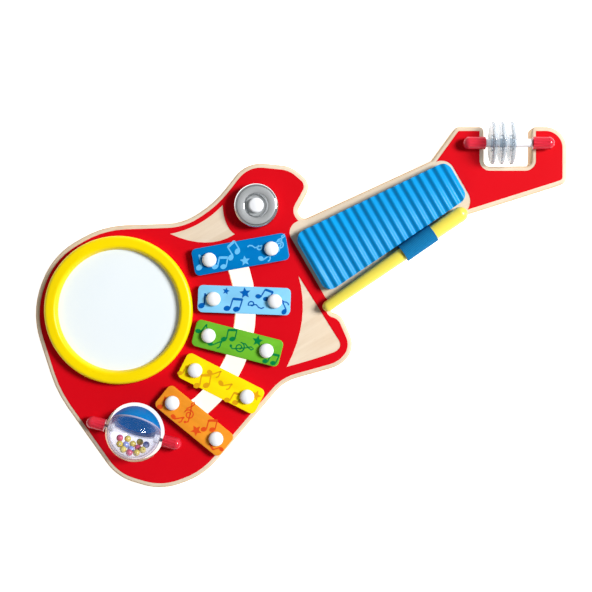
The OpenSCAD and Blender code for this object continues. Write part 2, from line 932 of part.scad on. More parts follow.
// Red peg with a round outer end and a flat foot, x runs outwards from its inner end
module peg(l, bore_d, bore_l, foot_z) {
    r = peg_d / 2;
    difference() {
        union() {
            rotate([0, 90, 0])
                cylinder(d = peg_d, h = l - r);
            translate([l - r, 0, 0])
                sphere(d = peg_d);
            translate([0, -peg_foot_w / 2, foot_z])
                cube([l - r, peg_foot_w, -foot_z]);
        }
        translate([-cut, 0, 0])
            rotate([0, 90, 0])
                cylinder(d = bore_d, h = bore_l + cut);
        translate([l / 2, 0, -axle_rise - cut])
            cylinder(r = screw_d / 2 + press_gap, h = cut + axle_rise - bore_d / 2 - peg_roof);
        translate([-cut, -r - cut, foot_z - 2 * r])
            cube([l + 2 * cut, 2 * r + 2 * cut, 2 * r]);
        for (k = [0 : peg_flutes - 1])
            rotate([flute_spread * (2 * k / (peg_flutes - 1) - 1), 0, 0])
                translate([peg_collar, 0, r + flute_out])
                    rotate([0, 90, 0])
                        cylinder(r = flute_r, h = l - r - peg_collar);
    }
}

peg_foot_z = paint_t - axle_rise;
module ball_peg(side) {
    color("#e01a2c")
        seat()
            on_ball_axle()
                rotate([0, 0, side > 0 ? 0 : 180])
                    translate([ball_hole_d / 2, 0, 0])
                        peg(ball_peg_l, axle_pin_d + 2 * run_gap, peg_bore_l, peg_foot_z);
}
module ball_peg_left() { ball_peg(-1); }
module ball_peg_right() { ball_peg(1); }

module rod_peg(side) {
    color("#e01a2c")
        seat()
            on_rod()
                rotate([0, 0, side > 0 ? 0 : 180])
                    translate([notch_w / 2, 0, 0])
                        peg(rod_peg_l, journal_d + 2 * run_gap, rod_in_peg, peg_foot_z);
}
module rod_peg_left() { rod_peg(-1); }
module rod_peg_right() { rod_peg(1); }

module clapper_rod() {
    color("#f2f4f6")
        seat()
            on_rod()
                rotate([0, 90, 0]) {
                    translate([0, 0, -notch_w / 2 + shoulder_gap])
                        cylinder(d = rod_d, h = notch_w - 2 * shoulder_gap);
                    translate([0, 0, -notch_w / 2 - rod_in_peg + shoulder_gap])
                        cylinder(d = journal_d, h = notch_w + 2 * rod_in_peg - 2 * shoulder_gap);
                }
}

// Clear ring, thicker at its hub and at its rim
module clapper_ring(k) {
    r = ring_d / 2;
    web = 1.4;
    edge = ring_t / 2;
    hub_slope = 1;
    rim_w = 4;
    rim_flat = 2.4;
    rim_edge = 0.8;
    bore = rod_d / 2 + ring_gap;
    color([0.88, 0.92, 0.97, 0.35])
        seat()
            on_rod()
                translate([ring_places[k - 1], 0, 0])
                    rotate([0, 90, 0])
                        rotate_extrude()
                            polygon([
                                [bore, -ring_hub_t / 2],
                                [ring_hub_d / 2, -ring_hub_t / 2],
                                [ring_hub_d / 2 + hub_slope, -web / 2],
                                [r - rim_w, -web / 2],
                                [r - rim_flat, -edge],
                                [r - rim_edge, -edge],
                                [r, -edge / 2],
                                [r, edge / 2],
                                [r - rim_edge, edge],
                                [r - rim_flat, edge],
                                [r - rim_w, web / 2],
                                [ring_hub_d / 2 + hub_slope, web / 2],
                                [ring_hub_d / 2, ring_hub_t / 2],
                                [bore, ring_hub_t / 2]
                            ]);
}
module clapper_ring_1() { clapper_ring(1); }
module clapper_ring_2() { clapper_ring(2); }
module clapper_ring_3() { clapper_ring(3); }

module peg_screws() {
    l = axle_z - max(axle_pin_d, journal_d) / 2 - peg_roof - peg_screw_gap - screw_sink;
    color("#b8bcc0")
        seat()
            peg_screw_places()
                translate([0, 0, screw_sink])
                    wood_screw(l);
}

// Ribbed top as a wave along the plate
module rib_wave() {
    samples = 10;
    n = rib_count * samples;
    top = scraper_h;
    translate([0, scraper_w_body, 0])
        rotate([90, 0, 0])
            linear_extrude(2 * scraper_w_body)
                polygon(concat(
                    [[scraper_x - cut, 0]],
                    [for (k = [0 : n]) [
                        scraper_x + scraper_l * k / n,
                        top - rib_depth / 2 - rib_depth / 2 * cos(360 * k / samples)
                    ]],
                    [[scraper_x + scraper_l + cut, 0]]
                ));
}

module scraper_plate() {
    color("#1379c2")
        seat()
            difference() {
                translate([0, 0, board_t])
                    intersection() {
                        translate([0, scraper_y, 0])
                            rib_wave();
                        plate(rounded(scraper_corners), 0, scraper_h);
                    }
                difference() {
                    plate(
                        rounded(inset(scraper_corners, scraper_wall)),
                        board_t - cut,
                        scraper_h - rib_depth - scraper_wall + cut
                    );
                    at_scraper_screws()
                        cylinder(d = boss_d, h = board_t + scraper_h);
                }
                at_scraper_screws()
                    translate([0, 0, board_t - cut])
                        cylinder(r = screw_d / 2 + press_gap, h = cut + bite + screw_end_gap);
                on_stick()
                    translate([loop_from - face_gap, 0, -stick_lift - cut])
                        cube([loop_w + 2 * face_gap, loop_slot_l, loop_slot_h + cut]);
            }
}

module scraper_screws() {
    color("#b8bcc0")
        seat()
            at_scraper_screws()
                translate([0, 0, screw_sink])
                    wood_screw(board_t + bite - screw_sink);
}

module drumstick() {
    r0 = stick_d_thin / 2;
    r1 = stick_d_thick / 2;
    tilt = atan(stick_cone);
    color("#ecd957")
        seat()
            on_stick()
                rotate([0, -tilt, 0])
                    translate([0, 0, r0])
                        rotate([0, 90, 0])
                            rotate_extrude()
                                polygon(concat(
                                    [for (a = [-90 : 10 : 0])
                                        [max(0, r0 * cos(a)), r0 + r0 * sin(a)]],
                                    [for (a = [0 : 10 : 90])
                                        [max(0, r1 * cos(a)), stick_l - r1 + r1 * sin(a)]]
                                ));
}

// Elastic band: both ends lie under the scraper's edge, and the rest goes round the stick
loop_tail = 17.8;
loop_lean = 10;
layer_gap = 0.1;
loop_inner_r = stick_r_at(loop_from + loop_w) + face_gap;
loop_outer_r = loop_inner_r + loop_t;
loop_middle = [0, loop_outer_r - stick_lift + press_gap];
loop_steps = 32;
function round_stick(r) =
    [
        for (k = [0 : loop_steps])
            let (a = loop_lean + (270 - loop_lean) * k / loop_steps)
            loop_middle + r * [cos(a), sin(a)]
    ];
// Where the upper layer, which leaves the stick on a slope, comes down to a height z
function lands_at(r, z) =
    [r * cos(loop_lean) + (loop_middle.y + r * sin(loop_lean) - z) * tan(loop_lean), z];
module stick_loop() {
    floor_z = press_gap - stick_lift;
    inner_z = floor_z + loop_t;
    outer_z = inner_z + layer_gap + loop_t;
    color("#1188c0")
        seat()
            on_stick()
                translate([loop_from, 0, 0])
                    rotate([90, 0, 90])
                        linear_extrude(loop_w)
                            polygon(concat(
                                [[loop_tail, outer_z], lands_at(loop_outer_r, outer_z)],
                                round_stick(loop_outer_r),
                                [[loop_tail, floor_z], [loop_tail, inner_z]],
                                [for (k = [loop_steps : -1 : 0]) round_stick(loop_inner_r)[k]],
                                [
                                    lands_at(loop_inner_r, inner_z + layer_gap),
                                    [loop_tail, inner_z + layer_gap]
                                ]
                            ));
}

board();
face_paint();
drum_shell();
drum_skin();
drum_hoop();
drum_screws();
key_1();
key_2();
key_3();
key_4();
key_5();
key_1_pins();
key_2_pins();
key_3_pins();
key_4_pins();
key_5_pins();
key_1_felts();
key_2_felts();
key_3_felts();
key_4_felts();
key_5_felts();
bell_gong();
bell_post();
bell_washer();
bell_screw();
bell_cap();
ball_clear_shell();
ball_blue_shell();
ball_divider();
ball_beads();
ball_axle_pins();
ball_peg_left();
ball_peg_right();
clapper_rod();
clapper_ring_1();
clapper_ring_2();
clapper_ring_3();
rod_peg_left();
rod_peg_right();
peg_screws();
scraper_plate();
scraper_screws();
drumstick();
stick_loop();
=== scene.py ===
import math
import random
import bpy
from mathutils import Matrix, Vector


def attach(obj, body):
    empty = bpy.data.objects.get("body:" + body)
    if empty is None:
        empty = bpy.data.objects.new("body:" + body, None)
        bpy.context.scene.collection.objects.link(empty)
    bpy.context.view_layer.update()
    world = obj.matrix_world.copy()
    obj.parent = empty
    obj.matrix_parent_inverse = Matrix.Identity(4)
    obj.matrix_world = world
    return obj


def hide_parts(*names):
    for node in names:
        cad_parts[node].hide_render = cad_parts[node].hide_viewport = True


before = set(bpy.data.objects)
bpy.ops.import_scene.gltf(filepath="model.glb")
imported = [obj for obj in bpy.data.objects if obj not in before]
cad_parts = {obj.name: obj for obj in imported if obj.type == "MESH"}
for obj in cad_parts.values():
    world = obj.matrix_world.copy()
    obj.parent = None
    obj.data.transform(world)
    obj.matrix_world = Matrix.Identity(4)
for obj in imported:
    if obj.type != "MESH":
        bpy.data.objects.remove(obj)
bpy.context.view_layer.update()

# ---- Camera ----
# The toy lies on its back and is seen from straight above, turned so that the neck points
# up to the right.
view_turn = math.radians(-30)
camera_foot = (-0.0239, -0.0212)
camera_height = 1.018
bpy.ops.object.select_all(action="DESELECT")
bpy.ops.object.camera_add(location=(*camera_foot, camera_height), rotation=(0, 0, view_turn))
camera = bpy.context.object
camera.name = "camera"
camera.data.sensor_width = 36
camera.data.lens = 72.4
bpy.context.scene.camera = camera

# ---- Board ----
# One sheet of pale plywood, routed to shape with a rounded rim and lacquered. The drum and
# the ball hang in round holes, and a curved slot under the keys lets their sound out.
board_t = 0.018
rim_round = 0.0024
outline_reach = 0.2
ply_pair_t = 0.0028
same_point = 2e-6
same_height = 1e-5
same_plane = math.radians(0.4)


def pick(piece):
    """Only this piece is selected and active."""
    bpy.ops.object.select_all(action="DESELECT")
    piece.select_set(True)
    bpy.context.view_layer.objects.active = piece


def copy_of(node, name):
    """A welded copy of a CAD node, its flat triangles joined into whole faces."""
    piece = bpy.data.objects.new(name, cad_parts[node].data.copy())
    bpy.context.scene.collection.objects.link(piece)
    pick(piece)
    bpy.ops.mesh.customdata_custom_splitnormals_clear()
    bpy.ops.object.mode_set(mode="EDIT")
    bpy.ops.mesh.select_all(action="SELECT")
    bpy.ops.mesh.remove_doubles(threshold=same_point)
    bpy.ops.mesh.dissolve_limited(angle_limit=same_plane)
    bpy.ops.object.mode_set(mode="OBJECT")
    return piece


def done(piece, body, finish, slot, *nodes, smooth=38):
    """Gives a piece its finish, and says what it rides on and which CAD nodes it stands for."""
    pick(piece)
    bpy.ops.object.shade_smooth_by_angle(angle=math.radians(smooth))
    if finish:
        piece.data.materials.clear()
        piece.data.materials.append(finish)
    if nodes:
        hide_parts(*nodes)
    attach(piece, body)
    return piece


def rgb(red, green, blue):
    """A colour as it looks on a screen, 0 to 255, as the linear colour a shader takes."""
    linear = [
        (c / 255 / 12.92 if c <= 10 else ((c / 255 + 0.055) / 1.055) ** 2.4)
        for c in (red, green, blue)
    ]
    return (*linear, 1.0)


class Mixture:
    """A socket in a material. Python's operators on it add Math nodes."""

    def __init__(self, tree, socket=None):
        self.tree = tree
        self.socket = socket

    def node(self, kind, settings=None, inputs=None, out=0):
        made = self.tree.nodes.new("ShaderNode" + kind)
        for key, value in (settings or {}).items():
            if key == "stops":
                ramp = made.color_ramp.elements
                for k, (place, colour) in enumerate(value):
                    stop = ramp[k] if k < 2 else ramp.new(place)
                    stop.position = place
                    stop.color = colour
            else:
                setattr(made, key, value)
        for key, value in (inputs or {}).items():
            if isinstance(value, Mixture):
                self.tree.links.new(value.socket, made.inputs[key])
            else:
                made.inputs[key].default_value = value
        return Mixture(self.tree, made.outputs[out])

    def maths(self, operation, first, second=0.0):
        return self.node("Math", {"operation": operation}, {0: first, 1: second})

    def __add__(self, other): return self.maths("ADD", self, other)
    def __radd__(self, other): return self.maths("ADD", other, self)
    def __sub__(self, other): return self.maths("SUBTRACT", self, other)
    def __rsub__(self, other): return self.maths("SUBTRACT", other, self)
    def __mul__(self, other): return self.maths("MULTIPLY", self, other)
    def __rmul__(self, other): return self.maths("MULTIPLY", other, self)
    def __abs__(self): return self.maths("ABSOLUTE", self)


def span(value, low, high, to_low=0.0, to_high=1.0):
    """Value, spread from low..high to to_low..to_high and held there."""
    return value.node("MapRange", {}, {0: value, 1: low, 2: high, 3: to_low, 4: to_high})


def between(share, first, second):
    """The first colour where share is 0, the second where it is 1."""
    return share.node("Mix", {"data_type": "RGBA"}, {0: share, 6: first, 7: second}, out=2)


def grain(start, stretch, detail):
    """Noise on the piece's own coordinates, stretched by a scale along each axis."""
    at = start.node("TexCoord", out="Object")
    at = start.node("Mapping", {}, {"Vector": at, "Scale": stretch})
    return start.node("TexNoise", {}, {"Vector": at, "Scale": 1.0, "Detail": detail}, out="Fac")


def bump(height, depth):
    """Relief as high as depth, in metres, for a height from 0 to 1."""
    return height.node("Bump", {}, {"Height": height, "Strength": 1.0, "Distance": depth})


def material(name, recipe, **constants):
    """A finish: constants set the shader's own sockets, and recipe says what varies over it."""
    made = bpy.data.materials.new(name)
    made.use_nodes = True
    shader = made.node_tree.nodes["Principled BSDF"]
    for socket, value in constants.items():
        shader.inputs[socket.replace("_", " ")].default_value = value
    for socket, value in recipe(Mixture(made.node_tree)).items():
        made.node_tree.links.new(value.socket, shader.inputs[socket])
    return made


def lacquered_wood(start):
    fibre = grain(start, (14, 210, 90), 6.0)
    figure = grain(start, (5, 38, 20), 3.0)
    pores = grain(start, (160, 1900, 900), 2.0)
    faces_up = abs(start.node("SeparateXYZ", {}, {0: start.node("TexCoord", out="Normal")}, out=2))
    cut_edge = 1 - span(faces_up, 0.45, 0.97)
    height = start.node("SeparateXYZ", {}, {0: start.node("TexCoord", out="Object")}, out=2)
    plies = start.maths("SINE", height * (2 * math.pi / ply_pair_t))
    ply = span(plies, -0.25, 0.25) * cut_edge
    face = between(span(fibre, 0.35, 0.7), rgb(231, 214, 191), rgb(222, 202, 176))
    face = between(span(figure, 0.45, 0.75, 0.0, 0.4), face, rgb(210, 185, 154))
    face = between(span(pores, 0.62, 0.75, 0.0, 0.2), face, rgb(184, 152, 116))
    edge = between(ply, rgb(232, 198, 154), rgb(204, 154, 102))
    colour = between(cut_edge * 0.85, face, edge)
    relief = fibre * 0.5 + pores * 0.5
    return {
        "Base Color": colour,
        "Roughness": span(fibre, 0.2, 0.8, 0.42, 0.58),
        "Normal": bump(relief, 0.00006),
    }


bare_wood = material("wood", lacquered_wood, Specular_IOR_Level=0.12)
board = copy_of("board", "board_shaped")
bpy.ops.object.mode_set(mode="EDIT")
bpy.ops.mesh.select_mode(type="EDGE")
bpy.ops.mesh.select_all(action="DESELECT")
bpy.ops.object.mode_set(mode="OBJECT")
corners = board.data.vertices
flat_edges = {}
for face in board.data.polygons:
    for key in face.edge_keys:
        flat_edges.setdefault(key, []).append(abs(face.normal.z) > 0.9)
rims = [
    e for e in board.data.edges
    if sorted(flat_edges[e.key]) == [False, True]
    and abs(abs(corners[e.key[0]].co.z - board_t / 2) - board_t / 2) < same_height
]
at_corner = {}
for e in rims:
    for v in e.vertices:
        at_corner.setdefault(v, []).append(e)
unseen = {e.index: e for e in rims}
while unseen:
    loop, queue = [], [unseen.pop(next(iter(unseen)))]
    while queue:
        e = queue.pop()
        loop.append(e)
        for v in e.vertices:
            for other in at_corner[v]:
                if other.index in unseen:
                    queue.append(unseen.pop(other.index))
    places = [corners[e.vertices[0]].co.x for e in loop]
    if max(places) - min(places) > outline_reach:
        for e in loop:
            e.select = True
bpy.ops.object.mode_set(mode="EDIT")
bpy.ops.mesh.bevel(offset=rim_round, segments=4, profile=0.5, clamp_overlap=False, loop_slide=False)
bpy.ops.object.mode_set(mode="OBJECT")
done(board, "guitar", bare_wood, "wood", "board")

# ---- Red face ----
# Red lacquer, sprayed through a stencil on the flat of the board, so it stops short of the
# rounded rim and leaves bare wood on both horns and under the scraper.


def sprayed_lacquer(colour, darker):
    def recipe(start):
        cloud = grain(start, (14, 14, 14), 2.0)
        fibre = grain(start, (20, 260, 100), 4.0)
        peel = grain(start, (420, 420, 420), 1.0)
        return {
            "Base Color": between(span(cloud, 0.3, 0.7), colour, darker),
            "Roughness": span(peel, 0.3, 0.7, 0.42, 0.5),
            "Normal": bump(fibre * 0.6 + peel * 0.4, 0.00003),
        }
    return recipe


red_paint = material(
    "red_paint", sprayed_lacquer(rgb(217, 9, 26), rgb(210, 8, 22)), Specular_IOR_Level=0.06,
)
done(copy_of("face_paint", "red_face"), "guitar", red_paint, "red_paint", "face_paint")

# ---- Drum ----
# A tight white film over a plastic shell that hangs in the board. A yellow moulded hoop
# clamps its edge, pulled down by screws from the back.
drum = Vector((-0.158373, 0.042898, 0))
drum_flange_z = 0.02025
skin_top_z = 0.02105
hoop_r = 0.062
hoop_top_z = 0.02625
skin_open_r = 0.0506
flange_r = 0.0578
flange_edge = 0.0002
shell_r = 0.0546
shell_in_r = 0.0522
shell_low_z = 0.001
shell_edge = 0.0004


def arc(centre, radius, start, end, steps):
    """Points along an arc from angle start to end, in degrees."""
    return [
        (
            centre[0] + radius * math.cos(math.radians(start + (end - start) * k / steps)),
            centre[1] + radius * math.sin(math.radians(start + (end - start) * k / steps)),
        )
        for k in range(steps + 1)
    ]


def turned(name, profile, steps=96):
    """A piece turned on a lathe: a profile of (radius, height) points spun about Z."""
    bpy.ops.object.select_all(action="DESELECT")
    bpy.ops.mesh.primitive_plane_add(size=0.001)
    piece = bpy.context.object
    piece.name = name
    bpy.ops.object.mode_set(mode="EDIT")
    bpy.ops.mesh.select_mode(type="VERT")
    bpy.ops.mesh.select_all(action="SELECT")
    bpy.ops.mesh.merge(type="CENTER")
    bpy.ops.transform.translate(value=(profile[0][0], 0, profile[0][1]))
    for a, b in zip(profile, profile[1:]):
        bpy.ops.mesh.extrude_vertices_move(
            TRANSFORM_OT_translate={"value": (b[0] - a[0], 0, b[1] - a[1])}
        )
    bpy.ops.mesh.select_all(action="SELECT")
    bpy.ops.mesh.spin(steps=steps, angle=2 * math.pi, center=(0, 0, 0), axis=(0, 0, 1))
    bpy.ops.mesh.select_all(action="SELECT")
    bpy.ops.mesh.remove_doubles(threshold=1e-6)
    bpy.ops.mesh.normals_make_consistent(inside=False)
    bpy.ops.object.mode_set(mode="OBJECT")
    return piece


def placed(piece, at, turn=(0, 0, 0)):
    """Puts a piece in its place, and leaves its object at the origin."""
    pick(piece)
    piece.location = at
    piece.rotation_euler = turn
    bpy.ops.object.transform_apply(location=True, rotation=True, scale=True)
    return piece


def moulded(colour, tint=0.93):
    """Moulded plastic: an even colour, a little deeper in places, with a faint texture."""
    deeper = tuple(c * tint for c in colour[:3]) + (1.0,)
    texture_depth = 0.000012

    def recipe(start):
        flow = grain(start, (30, 30, 30), 2.0)
        skin = grain(start, (900, 900, 900), 2.0)
        return {
            "Base Color": between(span(flow, 0.35, 0.7), colour, deeper),
            "Roughness": span(flow, 0.2, 0.8, 0.28, 0.36),
            "Normal": bump(skin, texture_depth),
        }
    return recipe


yellow_plastic = material("yellow_plastic", moulded(rgb(254, 224, 0)), Specular_IOR_Level=0.3)
white_plastic = material("white_plastic", moulded(rgb(246, 248, 251), tint=0.97))
crown = 0.003
hoop_low_z = 0.01825
hoop_side_z = 0.0186
hoop_edge = 0.0003
hoop_bore_r = flange_r + 0.00005
lip_round = 0.0026
lip_mid_r = skin_open_r + 0.0036
lip_top_r = skin_open_r + 0.0044
hoop = turned("drum_hoop_moulded", (
    [(hoop_bore_r, hoop_low_z), (hoop_r - hoop_edge, hoop_low_z), (hoop_r, hoop_side_z)]
    + arc((hoop_r - crown, hoop_top_z - crown), crown, 0, 90, 8)
    + [(lip_top_r, hoop_top_z)]
    + arc((lip_mid_r, hoop_top_z - lip_round), lip_round, 90, 160, 6)
    + [(skin_open_r, skin_top_z), (hoop_bore_r, skin_top_z), (hoop_bore_r, hoop_low_z)]
), steps=160)
done(placed(hoop, drum), "guitar", yellow_plastic, "yellow_plastic", "drum_hoop")


def drum_film(start):
    weave = grain(start, (1500, 1500, 1500), 2.0)
    haze = grain(start, (18, 18, 18), 2.0)
    return {
        "Base Color": between(span(haze, 0.3, 0.7), rgb(240, 248, 252), rgb(237, 246, 251)),
        "Roughness": span(weave, 0.3, 0.7, 0.5, 0.62),
        "Normal": bump(weave, 0.00001),
    }


skin_white = material("drum_film", drum_film)
skin = turned("drum_film", [
    (0, drum_flange_z), (flange_r - flange_edge, drum_flange_z),
    (flange_r, drum_flange_z + flange_edge),
    (flange_r, skin_top_z), (skin_open_r * 0.66, skin_top_z), (0, skin_top_z),
], steps=160)
done(placed(skin, drum), "guitar", skin_white, "drum_skin", "drum_skin")
shell = turned("drum_shell_moulded", [
    (shell_in_r, shell_low_z + flange_edge), (shell_in_r + shell_edge, shell_low_z),
    (shell_r - shell_edge, shell_low_z), (shell_r, shell_low_z + shell_edge),
    (shell_r, board_t), (flange_r - flange_edge, board_t), (flange_r, board_t + flange_edge),
    (flange_r, drum_flange_z), (shell_in_r, drum_flange_z),
    (shell_in_r, shell_low_z + flange_edge),
], steps=160)
done(placed(shell, drum), "guitar", white_plastic, "white_plastic", "drum_shell")

# ---- Keys ----
# Five steel bars, enamelled and printed with notes and stars. Each lies loose on two felt
# rings round white pins, which are pressed into the board and hold it by their round heads.
key_top_z = 0.02425
key_edge = 0.0006
key_centres = [
    (-46.69, 32.14), (-63.06, -2.56), (-85.90, -30.85), (-114.58, -53.19), (-149.57, -68.96),
]
key_tilts = [-19.7, -32.1, -44.5, -56.9, -69.3]
enamels = [
    (rgb(0, 124, 194), rgb(0, 110, 184), rgb(104, 190, 240)),
    (rgb(140, 208, 244), rgb(128, 200, 240), rgb(0, 92, 178)),
    (rgb(110, 184, 48), rgb(100, 174, 42), rgb(2, 124, 62)),
    (rgb(255, 228, 14), rgb(250, 218, 10), rgb(222, 160, 16)),
    (rgb(240, 152, 44), rgb(234, 142, 36), rgb(226, 80, 26)),
]
print_t = 0.00006
print_scale = 1.22
line_r = 0.00056
head_lean = 24
star_corners = 10
star_waist = 0.46
# What is printed on each key: a kind, its place along and across the key, its size and lean
prints = [
    [
        ("note", -34, 0, 10, 8), ("pair", -17.5, -3.6, 9, -18), ("pair", -6.2, 4.8, 9.5, 24),
        ("star", 2.8, -6, 6.4, 10), ("curl", 13.4, 3.4, 9, 200), ("note", 20.5, -6.4, 8.5, -60),
        ("clef", 34.6, 3.4, 11, -30),
    ],
    [
        ("note", -33.4, -1.4, 10, 4), ("star", -15.4, 7, 4.6, 0), ("pair", -8.6, -3.6, 10, -12),
        ("star", 0.4, 6, 7.2, 20), ("curl", 9.6, -3.6, 10, 20), ("pair", 17, 5.6, 8.6, -26),
        ("note", 33.6, -4, 9, 30),
    ],
    [
        ("note", -31, 4.4, 8.5, -20), ("note", -17.6, -4.6, 10, -50), ("pair", -8.2, 5.2, 9, 6),
        ("clef", 4.8, -2.6, 13.5, -78), ("star", 15.8, 6, 7, 16), ("pair", 30.6, -5.2, 8.5, -8),
    ],
    [
        ("pair", -31, -3.6, 8, 4), ("note", -8.4, 5.6, 9, -40), ("pair", -14.6, -4.6, 10, 20),
        ("note", 4.2, 1, 9, -50), ("pair", 14.8, -5.6, 9, 0), ("star", 30.4, 4.2, 7, 12),
    ],
    [
        ("note", -29.6, -4.6, 9, 30), ("clef", -7.4, 3.4, 13, 20),
        ("note", -11.8, -6.6, 8.5, -36), ("star", 6.4, -5.2, 7.2, 8), ("pair", 12.2, 5.4, 9, 28),
        ("pair", 27.8, -5.4, 7.5, 150),
    ],
]


def mm(value):
    """A size in millimetres, as metres."""
    return value / 1000


def bevelled(piece, width, angle=50, steps=2):
    """Rounds every edge of the piece that turns more than angle."""
    pick(piece)
    bevel = piece.modifiers.new("rounded edges", "BEVEL")
    bevel.width = width
    bevel.segments = steps
    bevel.limit_method = "ANGLE"
    bevel.angle_limit = math.radians(angle)
    bevel.loop_slide = False
    bpy.ops.object.modifier_apply(modifier=bevel.name)
    return piece


def enamel(colour, deeper):
    def recipe(start):
        flow = grain(start, (40, 40, 40), 2.0)
        peel = grain(start, (700, 700, 700), 1.0)
        return {
            "Base Color": between(span(flow, 0.3, 0.7), colour, deeper),
            "Roughness": span(peel, 0.3, 0.7, 0.2, 0.26),
            "Normal": bump(peel, 0.00001),
        }
    return recipe


def ink(colour):
    worn = tuple(c * 0.8 for c in colour[:3]) + (1.0,)

    def recipe(start):
        wear = grain(start, (900, 900, 900), 3.0)
        return {
            "Base Color": between(span(wear, 0.6, 0.8, 0.0, 0.25), colour, worn),
            "Roughness": span(wear, 0.3, 0.7, 0.26, 0.36),
        }
    return recipe


def line(points):
    """A printed line through the points: a thin tube pressed flat."""
    curve = bpy.data.curves.new("line", "CURVE")
    curve.dimensions = "3D"
    curve.bevel_depth = line_r
    curve.bevel_resolution = 1
    curve.use_fill_caps = True
    spline = curve.splines.new("POLY")
    spline.points.add(len(points) - 1)
    for spot, (x, y) in zip(spline.points, points):
        spot.co = (x, y, 0, 1)
    drawn = bpy.data.objects.new("line", curve)
    bpy.context.scene.collection.objects.link(drawn)
    pick(drawn)
    bpy.ops.object.convert(target="MESH")
    drawn = bpy.context.object
    drawn.scale = (1, 1, print_t / 2 / line_r)
    bpy.ops.object.transform_apply(location=True, rotation=True, scale=True)
    return drawn


def spot(x, y, radius, stretch=1.0, corners=20):
    """A printed spot, such as the head of a note."""
    bpy.ops.object.select_all(action="DESELECT")
    bpy.ops.mesh.primitive_cylinder_add(
        vertices=corners, radius=radius, depth=print_t, location=(x, y, 0)
    )
    made = bpy.context.object
    made.scale = (stretch, 1, 1)
    made.rotation_euler = (0, 0, math.radians(head_lean))
    bpy.ops.object.transform_apply(location=True, rotation=True, scale=True)
    return made


def note_head(size, x, y):
    return spot(size * x, size * y, size * 0.18, 1.3)


def path(size, *points):
    return line([(size * x, size * y) for x, y in points])


def spiral(turns, first, last, centre, from_angle):
    """Points of a spiral whose radius goes from first to last."""
    steps = 26
    out = []
    for k in range(steps + 1):
        share = k / steps
        a = math.radians(from_angle + 360 * turns * share)
        r = first + (last - first) * share
        out.append((centre[0] + r * math.cos(a), centre[1] + r * math.sin(a)))
    return out


def printed(kind, size):
    """The separate marks of one motif, round the origin."""
    if kind == "note":
        return [
            note_head(size, -0.2, -0.36),
            path(size, (0, -0.32), (0.03, 0.1), (0.06, 0.48)),
            path(size, (0.06, 0.48), (0.16, 0.3), (0.3, 0.2), (0.36, 0.06), (0.33, -0.08)),
        ]
    if kind == "pair":
        return [
            note_head(size, -0.38, -0.4), note_head(size, 0.26, -0.3),
            path(size, (-0.18, -0.36), (-0.14, 0.38)), path(size, (0.46, -0.26), (0.5, 0.48)),
            path(size, (-0.14, 0.38), (0.5, 0.48)), path(size, (-0.145, 0.29), (0.495, 0.39)),
        ]
    if kind == "curl":
        return [path(
            size, *spiral(1.0, 0.06, 0.24, (-0.24, 0.12), 180),
            (0.05, 0.0), (0.14, -0.22), (0.3, -0.36), (0.5, -0.34),
        )]
    if kind == "clef":
        return [
            path(
                size, *spiral(1.5, 0.07, 0.28, (0, -0.14), 0),
                (-0.2, 0.14), (-0.02, 0.3), (0.1, 0.46), (0.04, 0.58), (-0.06, 0.44),
                (0.02, 0.1), (0.08, -0.5), (-0.04, -0.6),
            ),
            spot(-size * 0.07, -size * 0.58, size * 0.07),
        ]
    # A star is a flat disc of ten corners, every other one of them drawn in
    star = spot(0, 0, size * 0.56, 1.0, star_corners)
    for v in star.data.vertices:
        turn = round(math.degrees(math.atan2(v.co.y, v.co.x)) + 6)
        if turn // (360 // star_corners) % 2:
            v.co.x *= star_waist
            v.co.y *= star_waist
    return [star]


for number, (centre, tilt, colours, marks) in enumerate(
    zip(key_centres, key_tilts, enamels, prints), 1
):
    body = f"key_body_{number}"
    slot = f"key_paint_{number}"
    paint = material(slot, enamel(colours[0], colours[1]), Specular_IOR_Level=0.22)
    bar = bevelled(copy_of(f"key_{number}", f"key_{number}_bar"), key_edge, 60, 3)
    done(bar, body, paint, slot, f"key_{number}")
    drawn = []
    for kind, along, across, size, lean in marks:
        for mark in printed(kind, mm(size) * print_scale):
            placed(mark, (0, 0, 0), (0, 0, math.radians(lean)))
            drawn.append(placed(mark, (mm(along), mm(across), 0)))
    bpy.ops.object.select_all(action="DESELECT")
    for mark in drawn:
        mark.select_set(True)
    bpy.context.view_layer.objects.active = drawn[0]
    bpy.ops.object.join()
    motif = bpy.context.object
    motif.name = f"key_{number}_print"
    print_at = (mm(centre[0]), mm(centre[1]), key_top_z + print_t * 0.3)
    placed(motif, print_at, (0, 0, math.radians(tilt)))
    done(motif, body, material(f"ink_{number}", ink(colours[2]), Specular_IOR_Level=0.2), None)
    pins = copy_of(f"key_{number}_pins", f"key_{number}_pins_white")
    done(pins, "guitar", white_plastic, "white_plastic", f"key_{number}_pins", smooth=50)


def pressed_felt(start):
    hair = grain(start, (1800, 1800, 1800), 6.0)
    return {
        "Base Color": between(span(hair, 0.3, 0.7), rgb(150, 142, 132), rgb(104, 98, 90)),
        "Roughness": span(hair, 0.2, 0.8, 0.86, 1.0),
        "Normal": bump(hair, 0.00025),
    }


felt = material("felt", pressed_felt, Sheen_Weight=0.3)
for number in range(1, 6):
    rings = bevelled(copy_of(f"key_{number}_felts", f"key_{number}_felt_rings"), 0.0004, 60, 2)
    done(rings, "guitar", felt, "felt", f"key_{number}_felts")

# ---- Bell ----
# A bicycle-style bell: a pressed, plated steel gong with a sunk middle turns on a plastic
# post. A screw holds it, and a white cap snaps over the screw's head.
bell = Vector((-0.014873, 0.060698, 0))
gong_r = 0.0185
gong_sheet = 0.0009
gong_low_z = 0.01985
gong_top_z = 0.02935
dish_r = 0.0095
dish_z = 0.02635
gong_bend = 0.003
gong_hem = (0.00015, 0.0002)
gong_bore_r = 0.00308
dish_bend = 0.0008


